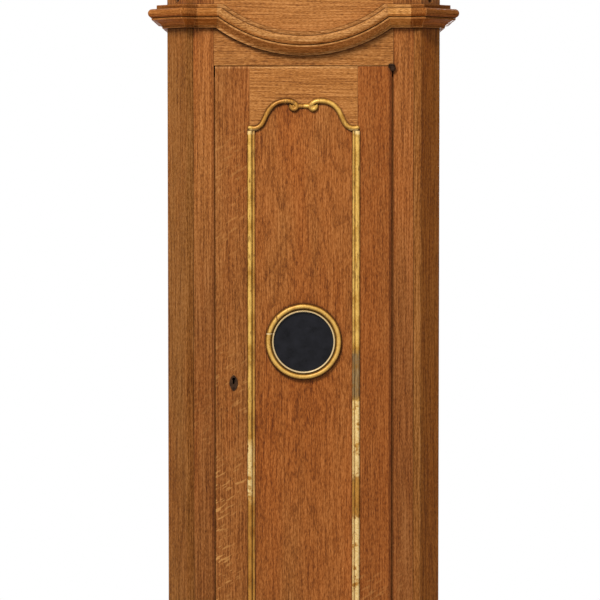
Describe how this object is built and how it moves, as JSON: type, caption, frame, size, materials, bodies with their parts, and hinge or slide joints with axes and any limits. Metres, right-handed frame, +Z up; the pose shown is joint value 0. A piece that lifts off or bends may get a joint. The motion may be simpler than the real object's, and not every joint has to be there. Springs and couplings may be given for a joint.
{
  "type": "grandfather clock",
  "caption": "Oak longcase clock with canted corners, a gilt-trimmed trunk door with a round glazed lenticle, a sliding arched hood and a weight-driven pendulum movement.",
  "frame": {"origin": "on the floor at the middle of the footprint", "axes": "+Z up, the front faces -Y, +X to the right of a viewer in front"},
  "size_m": [0.45, 0.2698, 2.1673],
  "materials": {
    "oak": "aged wax",
    "deal": "bare",
    "gilt_wood": "worn gilding",
    "iron": "dark",
    "brass": "polished",
    "steel": "blued",
    "glass": "clear",
    "dial_paint": "aged white enamel paint",
    "gut": "waxed"
  },
  "bodies": {
    "case": {"plinth_skirting": "oak", "base_front_frame": "oak", "base_front_panel": "oak", "base_sides": "oak", "base_corner_posts": "oak", "base_moulding": "oak", "backboard": "deal", "trunk_sides": "oak", "trunk_corner_posts": "oak", "trunk_stiles": "oak", "trunk_top_rail": "oak", "trunk_bottom_rail": "oak", "throat_moulding": "oak", "case_hinge_brackets": "iron", "movement_cheeks": "deal", "seat_board": "deal", "front_plate": "brass", "back_plate": "brass", "dial": "dial_paint", "suspension_cock": "brass", "gut_line": "gut"},
    "trunk_door": {"door_lock_stile": "oak", "door_hinge_stile": "oak", "door_top_rail": "oak", "door_bottom_rail": "oak", "door_panel": "oak", "door_gilt_moulding": "gilt_wood", "lenticle_ring": "gilt_wood", "lenticle_glass": "glass", "keyhole_escutcheon": "iron", "door_lock_case": "iron", "door_hinge_leaves": "iron"},
    "lock_bolt": {"lock_bolt": "iron"},
    "hood": {"hood_apron": "oak", "hood_posts": "oak", "hood_sides": "oak", "hood_arch_rail": "oak", "hood_cornice": "oak", "hood_roof": "deal", "hood_hinge_brackets": "iron"},
    "hood_door": {"hood_door_frame": "oak", "hood_door_bezel": "gilt_wood", "hood_door_glass": "glass", "hood_door_knob": "brass", "hood_door_leaves": "iron"},
    "pendulum": {"pendulum_rod": "steel", "pendulum_bob": "brass"},
    "anchor": {"pallet_anchor": "steel"},
    "barrel": {"winding_barrel": "brass"},
    "great_wheel": {"great_wheel": "brass"},
    "centre_wheel": {"centre_wheel": "brass"},
    "third_wheel": {"third_wheel": "brass"},
    "escape_wheel": {"escape_wheel": "brass"},
    "minute_hand": {"cannon_pinion": "brass", "minute_hand": "steel"},
    "hour_hand": {"hour_wheel": "brass", "hour_hand": "steel"},
    "minute_wheel": {"minute_wheel": "brass"},
    "weight": {"drive_weight": "iron"},
    "pulley": {"weight_pulley": "brass"}
  },
  "joints": [
    {"name": "trunk_door_hinge", "type": "hinge", "parent": "case", "child": "trunk_door", "pos_m": [0.1242, -0.094, 0.56], "axis": [0, 0, 1], "range_deg": [0, 110]},
    {"name": "lock_bolt_throw", "type": "slide", "parent": "trunk_door", "child": "lock_bolt", "axis": [-1, 0, 0], "range_m": [0, 0.008]},
    {"name": "hood_slide", "type": "slide", "parent": "case", "child": "hood", "axis": [0, -1, 0], "range_m": [0, 0.28]},
    {"name": "hood_door_hinge", "type": "hinge", "parent": "hood", "child": "hood_door", "pos_m": [0.1242, -0.094, 1.7365], "axis": [0, 0, 1], "range_deg": [0, 110]},
    {"name": "pendulum_swing", "type": "hinge", "parent": "case", "child": "pendulum", "pos_m": [0, 0.0599, 1.9635], "axis": [0, 1, 0], "range_deg": [-3, 3]},
    {"name": "anchor_rock", "type": "hinge", "parent": "case", "child": "anchor", "pos_m": [0, 0, 1.9635], "axis": [0, 1, 0], "range_deg": [-3.2, 3.2]},
    {"name": "third_wheel_turn", "type": "hinge", "parent": "case", "child": "third_wheel", "pos_m": [0.0151, 0, 1.9188], "axis": [0, 1, 0], "continuous": true},
    {"name": "escape_wheel_turn", "type": "hinge", "parent": "case", "child": "escape_wheel", "pos_m": [0, 0, 1.938], "axis": [0, 1, 0], "continuous": true},
    {"name": "centre_wheel_turn", "type": "hinge", "parent": "case", "child": "centre_wheel", "pos_m": [0, 0, 1.8915], "axis": [0, 1, 0], "continuous": true},
    {"name": "great_wheel_turn", "type": "hinge", "parent": "case", "child": "great_wheel", "pos_m": [0, 0, 1.849], "axis": [0, 1, 0], "continuous": true},
    {"name": "minute_hand_turn", "type": "hinge", "parent": "case", "child": "minute_hand", "pos_m": [0, 0, 1.8915], "axis": [0, 1, 0], "continuous": true},
    {"name": "minute_wheel_turn", "type": "hinge", "parent": "case", "child": "minute_wheel", "pos_m": [0.027, 0, 1.8915], "axis": [0, 1, 0], "continuous": true},
    {"name": "hour_hand_turn", "type": "hinge", "parent": "case", "child": "hour_hand", "pos_m": [0, 0, 1.8915], "axis": [0, 1, 0], "continuous": true},
    {"name": "weight_lift", "type": "slide", "parent": "case", "child": "weight", "axis": [0, 0, 1], "range_m": [0, 0.905], "deforming": ["gut_line"]},
    {"name": "barrel_wind", "type": "hinge", "parent": "case", "child": "barrel", "pos_m": [0, 0, 1.849], "axis": [0, 1, 0], "range_deg": [0, 5765.4]},
    {"name": "pulley_turn", "type": "hinge", "parent": "weight", "child": "pulley", "pos_m": [-0.03875, -0.0051, 0.83195], "axis": [0, 1, 0], "range_deg": [-2502.9, 0]}
  ],
  "couplings": [
    {"joint": "anchor_rock", "follows": "pendulum_swing", "ratio": 1},
    {"joint": "escape_wheel_turn", "follows": "third_wheel_turn", "ratio": -8},
    {"joint": "centre_wheel_turn", "follows": "third_wheel_turn", "ratio": -0.11429},
    {"joint": "great_wheel_turn", "follows": "third_wheel_turn", "ratio": 0.0095238},
    {"joint": "minute_wheel_turn", "follows": "minute_hand_turn", "ratio": -0.66667},
    {"joint": "hour_hand_turn", "follows": "minute_hand_turn", "ratio": 0.083333},
    {"joint": "barrel_wind", "follows": "weight_lift", "rad_per_m": 111.11},
    {"joint": "pulley_turn", "follows": "weight_lift", "rad_per_m": -48.193}
  ]
}
